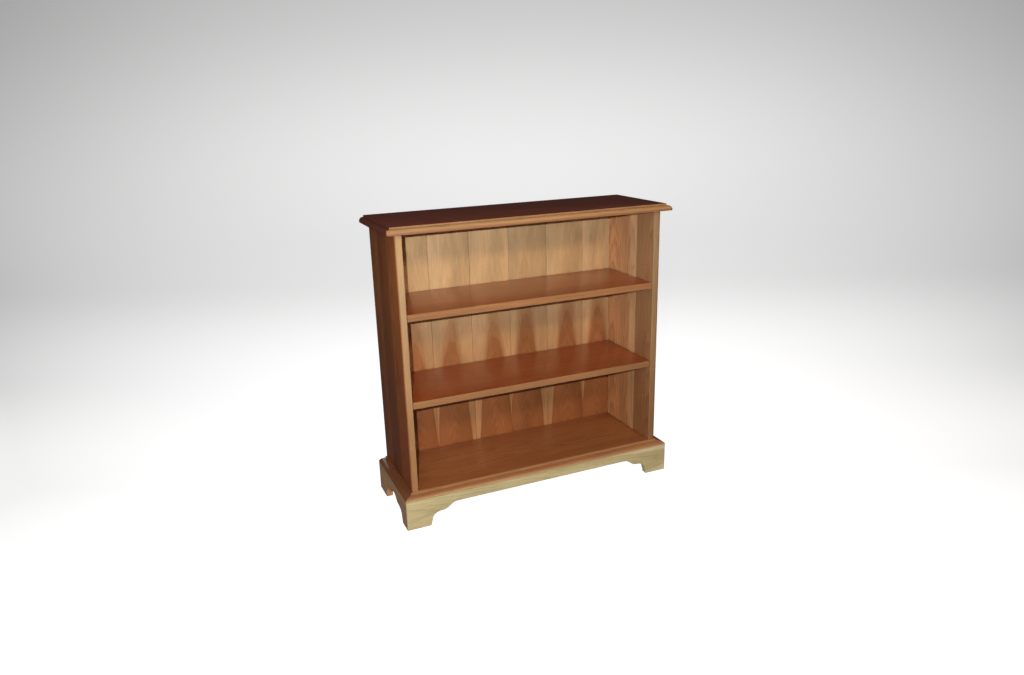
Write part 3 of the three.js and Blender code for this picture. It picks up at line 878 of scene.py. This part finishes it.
def crossScrew(node):
    # Lathe profile from the point to the head. On the head, points near the arms of a cross, where
    # r min(|sin a|, |cos a|) is small, sink by D (1 - r / R), which presses a cross recess.
    looks = metalLooks
    low, high = cornersOf(node)
    head = (high[0] - low[0]) / 2
    length = high[1] - low[1]
    middle = (low + high) / 2
    shank = head * looks["shankShare"]
    tip, full = looks["pointAt"]
    under, over, ease = looks["rim"]
    profile = [(0, 0), (looks["blunt"] * shank, tip), (shank, full), (shank, length - looks["neck"]),
               (head, length - under), (head, length - over), (head - ease, length)]
    profile += [(reach, length) for reach in np.linspace(looks["recessReach"] * 1.1, 0, 9)]
    grid = turnedPiece(profile, (middle[0], low[1], middle[2]), 1, sides=looks["screwSides"])
    a = np.linspace(0, 2 * np.pi, looks["screwSides"], endpoint=False)
    r = np.array(profile)[:, 0:1]
    offArm = np.minimum(np.abs(np.sin(a)), np.abs(np.cos(a)))[None, :] * r
    onFace = (np.array(profile)[:, 1:2] >= length) & (r < looks["recessReach"])
    arm = np.clip(looks["armEdge"] - offArm / looks["armWidth"], 0, 1)
    grid[:, :, 1] -= np.where(onFace, looks["recessDepth"] * arm * (1 - r / looks["recessReach"]), 0)
    return grid


for level in ("upper", "lower"):
    for side in ("left", "right"):
        for end in ("front", "back"):
            node = "_".join((level, "peg", side, end))
            body = "_".join(("peg", level, side, end))
            pegPiece = makePiece("steel_" + node, body, node, pegFinish, pegPin(node))
for index in range(backLooks["count"]):
    for level in ("top", "bottom"):
        node = "back_screw_%s_%d" % (level, index + 1)
        screwPiece = makePiece("cross_" + node, "carcass", node, screwFinish, crossScrew(node))
print("pegs and screws made")


# Plinth.

plinthLooks = inMetres(
    thickness=21,
    railUnderside=63.3,
    frontFeet=(75, 75),
    sideFeet=(54, 75),  # front foot, back foot
    footLean=6,
    kneeHeight=22,
    coveWidth=34,
    coveHeight=21,
    ogeeWidth=48,
    ease=1.1,
    mitreGap=0.12,
    sideFlat=10.5,  # middle of a side board's lower edge
) | {
    "ogeePull": 0.42,
}
mouldLooks = inMetres(
    nose=(13, 8.5),
    noseBase=2,
    tipEase=0.8,
    stepOut=5,
    stepBase=11.5,
    height=16,
    stepEase=0.5,
    play=0.3,  # behind it
)


def footEdge(foot, ogeeWidth):
    # From the floor inwards: foot, leaning edge, quarter ellipse cove, and an ogee, the cubic curve
    # (1-t)^3 p0 + 3 t (1-t)^2 p1 + 3 t^2 (1-t) p2 + t^3 p3, up to the rail.
    looks = plinthLooks
    knee = foot + looks["footLean"]
    wide, high = looks["coveWidth"], looks["coveHeight"]
    cove = ellipse((knee + wide, looks["kneeHeight"]), (wide, high), 180, 90, 16)
    t = np.linspace(0, 1, 17)[1:, None]
    start = cove[-1]
    end = np.array([start[0] + ogeeWidth, looks["railUnderside"]])
    pull = np.array([looks["ogeePull"] * ogeeWidth, 0])
    ogee = (1 - t) ** 3 * start + 3 * t * (1 - t) ** 2 * (start + pull) + 3 * t ** 2 * (1 - t) * (end - pull)
    return np.concatenate([[[0, 0], [foot, 0]], cove, ogee + t ** 3 * end])


def bracketBoard(length, feet, ogeeWidth, top, mitredFar):
    # Local frame (along, behind the face, up). At each point p of the lower edge, with inward normal n,
    # the section runs round the thickness: p + n e (1 - sin t) at depth e (1 - cos t), then up to the top.
    looks = plinthLooks
    near, far = (footEdge(foot, ogeeWidth) for foot in feet)
    far = np.stack([length - far[::-1, 0], far[::-1, 1]], axis=1)
    edge = np.concatenate([near, far])
    step = np.diff(edge, axis=0)
    normals = np.stack([-step[:, 1], step[:, 0]], axis=1) / np.linalg.norm(step, axis=1)[:, None]
    before = np.concatenate([[[0, 1]], normals])
    after = np.concatenate([normals, [[0, 1]]])
    inward = (before + after) / (1 + np.sum(before * after, axis=1))[:, None]
    inward[[0, -1]] = (0, 1)
    e, thick = looks["ease"], looks["thickness"]
    inner, outer = roundOff(e, arc(0, 90, 5))
    offset = np.concatenate([inner, inner[::-1]])
    depth = np.concatenate([outer, thick - outer[::-1]])
    lower = edge[:, None, :] + inward[:, None, :] * offset[None, :, None]
    count = len(depth) + 2
    grid = np.zeros((len(edge), count, 3))
    grid[:, 1:-1, 0] = lower[:, :, 0]
    grid[:, 1:-1, 1] = depth[None, :]
    grid[:, 1:-1, 2] = lower[:, :, 1]
    grid[:, 0] = np.stack([lower[:, 0, 0], np.zeros(len(edge)), np.full(len(edge), top)], axis=1)
    grid[:, -1] = np.stack([lower[:, -1, 0], np.full(len(edge), thick), np.full(len(edge), top)], axis=1)
    return mitreEnds(grid, length, mitredFar, e)


def mitreEnds(grid, length, mitredFar, ease):
    # Adds columns that round the outer corner, x = e (1 - sin t), depth e (1 - cos t), t up to 45
    # degrees, and cuts each end back to the mitre plane: along = depth.
    def roundCorner(end, turns):
        inner, outer = roundOff(ease, turns[:, None])
        corner = np.repeat(end, len(turns), axis=0)
        corner[:, :, 0] = inner
        corner[:, :, 1] = np.maximum(corner[:, :, 1], outer)
        return corner

    turns = arc(45, 0, 5)
    farCorner = roundCorner(grid[-1:], turns[::-1]) if mitredFar else grid[-1:] * (0, 1, 1)
    farCorner[:, :, 0] = length - farCorner[:, :, 0]
    whole = np.concatenate([roundCorner(grid[:1], turns), grid[1:-1], farCorner])
    gap = plinthLooks["mitreGap"]
    whole[:, :, 0] = np.maximum(whole[:, :, 0], whole[:, :, 1] + gap)
    if mitredFar:
        whole[:, :, 0] = np.minimum(whole[:, :, 0], length - whole[:, :, 1] - gap)
    return whole


def mouldingRun(length, mitredFar, projection, up):
    # Base moulding: section of (out, up) points, a quarter ellipse nose under a ledge and a step,
    # carried along with both corners mitred. Local frame (along, behind the face, up).
    looks = mouldLooks
    tipEase, stepEase, play = looks["tipEase"], looks["stepEase"], looks["play"]
    nose = ellipse((projection - looks["nose"][0], looks["noseBase"]), looks["nose"], 0, 90, 20)
    tip = ellipse((projection - tipEase, tipEase), (tipEase, tipEase), -90, 0, 3)
    step = ellipse((looks["stepOut"] - stepEase, looks["height"] - stepEase), (stepEase, stepEase), 0, 90, 3)
    section = np.concatenate([[[play, 0]], tip, nose, [[looks["stepOut"], looks["stepBase"]]], step,
                              [[play, looks["height"]]]])
    depth = projection - section[:, 0]
    gap = plinthLooks["mitreGap"]
    near = np.stack([depth + gap, depth, up + section[:, 1]], axis=1)
    far = near.copy()
    far[:, 0] = length - depth - gap if mitredFar else length
    return np.stack([near, far])


def toFront(grid):  # local frame to the front of the case
    return grid + np.array([plinthLow[0], plinthLow[1], 0])


def toSide(grid, hand):  # local frame to one end of the case
    turned = grid[:, :, [1, 0, 2]]
    turned[:, :, 0] = hand * (plinthHigh[0] - turned[:, :, 0])
    turned[:, :, 1] += plinthLow[1]
    return turned


plinthTop = plinthHigh[2]
frontLength = plinthHigh[0] - plinthLow[0]
sideLength = backEdge - plinthLow[1]
sideOgee = (sideLength - plinthLooks["sideFlat"] - sum(plinthLooks["sideFeet"])) / 2
sideOgee -= plinthLooks["footLean"] + plinthLooks["coveWidth"]
mouldUp = cornersOf("base_mould_front")[0][2]
projection = frontFace - plinthLow[1]
plinthColours = {
    "Heart": rgb(211, 196, 149), "Sap": rgb(228, 214, 172), "Ring Tint": rgb(176, 144, 100),
    "Rubbed": rgb(232, 218, 178), "Heart Radius": 0.1, "Ring Strength": 0.3, "Shine": 0.4,
}
mouldColours = {
    "Sap": rgb(214, 186, 138), "Ring Tint": rgb(156, 100, 62),
    "Rubbed": rgb(222, 186, 142), "Heart Radius": 0.2, "Shine": 0.32,
}
board = bracketBoard(frontLength, plinthLooks["frontFeet"], plinthLooks["ogeeWidth"], plinthTop, True)
moulding = mouldingRun(frontLength, True, projection, mouldUp)
runs = {"front": ("xFront", toFront(board), toFront(moulding), (0, plinthLow[1], plinthTop))}
for hand, side in ((-1, "left"), (1, "right")):
    board = bracketBoard(sideLength, plinthLooks["sideFeet"], sideOgee, plinthTop, False)
    moulding = mouldingRun(sideLength, False, projection, mouldUp)
    runs[side] = ("yEdge", toSide(board, hand), toSide(moulding, hand), (hand * plinthHigh[0], 0, plinthTop))
for turn, (side, (grain, board, moulding, middle)) in enumerate(runs.items()):
    front = side == "front"
    # end boards: more orange than the front, and brightened as painted light because their faces get little
    # light
    endTintAndLight = {} if front else {"Heart": rgb(240, 182, 126), "Sap": rgb(246, 198, 142)}
    plinthFinish = makeTimber(side + "PlinthTimber", middle, grain, {
        "Stave Width": 0.3, "Stave Shift": -0.2, "Taper": 0.03, "Wander": 0.03, "Ring Width": 0.004,
        "Seed": 31.0 + turn,
    }, {**plinthColours, **endTintAndLight})
    boardPiece = makePiece("bracket_" + side, "carcass", "plinth_" + side, plinthFinish, board)
    mouldFinish = makeTimber(side + "MouldTimber", middle, grain, {
        "Stave Width": 0.2, "Stave Shift": -0.1, "Pith Depth": 0.05, "Taper": 0.01, "Ring Width": 0.003,
        "Seed": 41.0 + turn,
    }, {**mouldColours, "Heart": rgb(190, 134, 88) if front else rgb(156, 98, 62)},
        bands=[(0.001, 0.0035 if front else 0.0025, 0.75, 1, 0)])
    mouldPiece = makePiece("moulding_" + side, "carcass", "base_mould_" + side, mouldFinish, moulding)
print("plinth made")


# Rough parts that keep their mesh.

roughColours = {
    "Heart": rgb(190, 150, 104), "Sap": rgb(214, 184, 136), "Ring Tint": rgb(160, 112, 66),
    "Rubbed": rgb(214, 180, 136), "Heart Radius": 0.1, "Shine": 0.62, "Pore Strength": 0.5,
}
roughFinish = makeTimber("roughTimber", (0, 0, 0), "x", {
    "Stave Width": 0.2, "Pith Depth": 0.06, "Ring Width": 0.004, "Seed": 51.0,
}, roughColours, coat=0.0, bump=0.3)
keptParts = {"plinth_back_rail": roughFinish}
for side in ("left", "right"):
    keptParts.update({"glue_block_%s_%s" % (side, end): roughFinish for end in ("front", "back")})
    keptParts.update({"top_dowel_%s_%d" % (side, count): roughFinish for count in (1, 2, 3)})
    keptParts.update({"block_screw_%s_%s" % (side, end): screwFinish for end in ("front", "back")})
for node, finish in keptParts.items():
    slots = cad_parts[node].material_slots
    if not slots:
        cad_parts[node].data.materials.append(finish)
    for place in slots:
        place.material = finish
print("rough parts finished")


# Room, lights and camera.

cameraLooks = {
    "place": (-0.9800, -2.1817, 1.2293),
    "turn": 23.46,  # degrees, from straight back towards +X
    "down": 16.91,
    "roll": -1.53,
    "lens": 27.17,
}
roomLooks = {
    "floorReach": 5.5,
    "bend": 2.5,
    "height": 9.0,
    "bounce": 0.18,  # how pale the room is to the object
    "glow": 0.03,  # light that the room gives the object
    "floor": (0.8, 3.2, 1.05, 0.78),  # painted pool of light: white near the object, less far off: from, to (metres), near, far
    "wall": (4.5, 7.5, 0.0, 0.05),  # lighter again on the wall
    "high": (0.4, 3.0, 0.0, 0.3),  # darker up the wall
    "aside": (0.2, 1.2, 0.45, 0.8),  # darker to both sides
    "asideWall": (4.5, 7.5, 0.0, 0.35),  # more of that on the wall
    "eye": 2.4,  # how far back the eye is
    "limit": 0.5,  # most that the sides darken
    "darkest": 0.2,
    "paint": 0.3,
}
neutral = (1, 0.97, 0.93)
lightLooks = {  # place, aim, size in metres, power in watts, tint, cone in degrees (0 is a round panel)
    "lamp": ((0.6, -2.2, 1.85), (0, 0, 0.6), 0.3, 17, (1, 0.72, 0.45), 0),
    "flash": ((-1.06, -2.147, 1.275), (0, 0, 0.45), 0.016, 40, (1, 1, 1), 0),
    "window": ((-2.2, -2.6, 3.2), (0, 0, 0.4), 2.5, 22, (1, 1, 1), 0),
    "behind": ((0.3, 3.4, 0.5), (0, 0.2, 0.45), 0.3, 140, neutral, 26),
    "right": ((3.4, 0.7, 0.5), (0.43, 0.05, 0.45), 0.3, 130, neutral, 26),
}
worldGlow = 0.05


def makeRoom():
    # A round studio: floor radius r, a quarter circle bend and a wall, swept round the object:
    # (r sin a, -r cos a, z) with r = reach + b sin t, z = b (1 - cos t) on the bend.
    looks = roomLooks
    t = arc(0, 90, 24)
    profile = np.concatenate([
        np.stack([np.linspace(0, looks["floorReach"], 12)[:-1], np.zeros(11)], axis=1),
        np.stack([looks["floorReach"] + looks["bend"] * np.sin(t), looks["bend"] * (1 - np.cos(t))], axis=1),
        [[looks["floorReach"] + looks["bend"], looks["height"]]],
    ])
    a = np.linspace(0, 2 * np.pi, 96, endpoint=False)
    grid = np.zeros((len(profile), len(a), 3))
    grid[:, :, 0] = profile[:, 0:1] * np.sin(a)
    grid[:, :, 1] = -profile[:, 0:1] * np.cos(a)
    grid[:, :, 2] = profile[:, 1:2]
    mesh = bpy.data.meshes.new("room")
    mesh.from_pydata(grid.reshape(-1, 3).tolist(), [], gridFaces(*grid.shape[:2], True).tolist())
    tidyMesh(mesh, 60)
    mesh.flip_normals()
    room = setUp("room", mesh)
    mesh.materials.append(roomPaintAndGlow())


def roomPaintAndGlow():
    # Painted light: to the camera the room glows white near the object, greyer up the wall and to the sides
    # by (aside / (ahead + eye)) squared.
    # To the object itself it is a dim even room.
    looks = roomLooks
    paint = bpy.data.materials.new("roomPaintAndGlow")
    paint.use_nodes = True
    tree = paint.node_tree
    tree.nodes.clear()
    spot = newNode(tree, "TexCoord").outputs["Object"]
    turn = math.radians(cameraLooks["turn"])
    x, y, z = split(spot)
    ahead = plus(times(x, math.sin(turn)), times(y, math.cos(turn)))
    ahead = mathOf("ABSOLUTE", ahead)
    aside = minus(times(x, math.cos(turn)), times(y, math.sin(turn)))
    plain = plus(eased(ahead, *looks["floor"]), eased(ahead, *looks["wall"]))
    plain = minus(plain, eased(z, *looks["high"]))
    slant = mathOf("DIVIDE", aside, plus(ahead, looks["eye"]))
    slant = mathOf("MINIMUM", times(slant, slant), looks["limit"])
    fade = plus(eased(ahead, *looks["aside"]), eased(ahead, *looks["asideWall"]))
    tone = times(plain, minus(1.0, times(slant, fade)))
    tone = mathOf("MAXIMUM", tone, looks["darkest"])
    shades = []
    for bright, glow in ((looks["paint"], tone), (looks["bounce"], looks["glow"])):
        wash = newNode(tree, "BsdfDiffuse")
        wash.inputs["Color"].default_value = (bright, bright, bright, 1)
        shine = newNode(tree, "Emission")
        feed(shine.inputs["Strength"], glow)
        shades.append(feedNode("AddShader", wash.outputs[0], shine.outputs[0]).outputs[0])
    seen = newNode(tree, "LightPath").outputs["Is Camera Ray"]
    choice = feedNode("MixShader", seen, shades[1], shades[0])
    feed(newNode(tree, "OutputMaterial").inputs["Surface"], choice.outputs[0])
    return paint


def makeLights():
    for name, (place, aim, size, power, tint, cone) in lightLooks.items():
        lamp = bpy.data.lights.new(name, "SPOT" if cone else "AREA")
        if cone:
            lamp.spot_size = math.radians(cone)
            lamp.spot_blend = 1
            lamp.shadow_soft_size = size / 2
        else:
            lamp.shape = "DISK"
            lamp.size = size
        lamp.energy = power
        lamp.color = tint
        holder = setUp(name, lamp)
        holder.visible_camera = False
        holder.location = place
        holder.rotation_euler = (Vector(aim) - Vector(place)).to_track_quat("-Z", "Y").to_euler()
    world = bpy.data.worlds.new("studio")
    world.use_nodes = True
    sky = world.node_tree.nodes["Background"].inputs
    sky["Color"].default_value = (1, 1, 1, 1)
    sky["Strength"].default_value = worldGlow
    bpy.context.scene.world = world


def makeCamera():
    looks = cameraLooks
    lens = bpy.data.cameras.new("camera")
    lens.lens = looks["lens"]
    lens.sensor_width = 36
    camera = setUp("camera", lens)
    turn, down, roll = (math.radians(looks[part]) for part in ("turn", "down", "roll"))
    view = Matrix.Rotation(-turn, 4, "Z") @ Matrix.Rotation(math.pi / 2 - down, 4, "X")
    view = view @ Matrix.Rotation(roll, 4, "Z")
    view.translation = looks["place"]
    camera.matrix_world = view
    bpy.context.scene.camera = camera


makeRoom()
makeLights()
makeCamera()
print("room, lights and camera set")
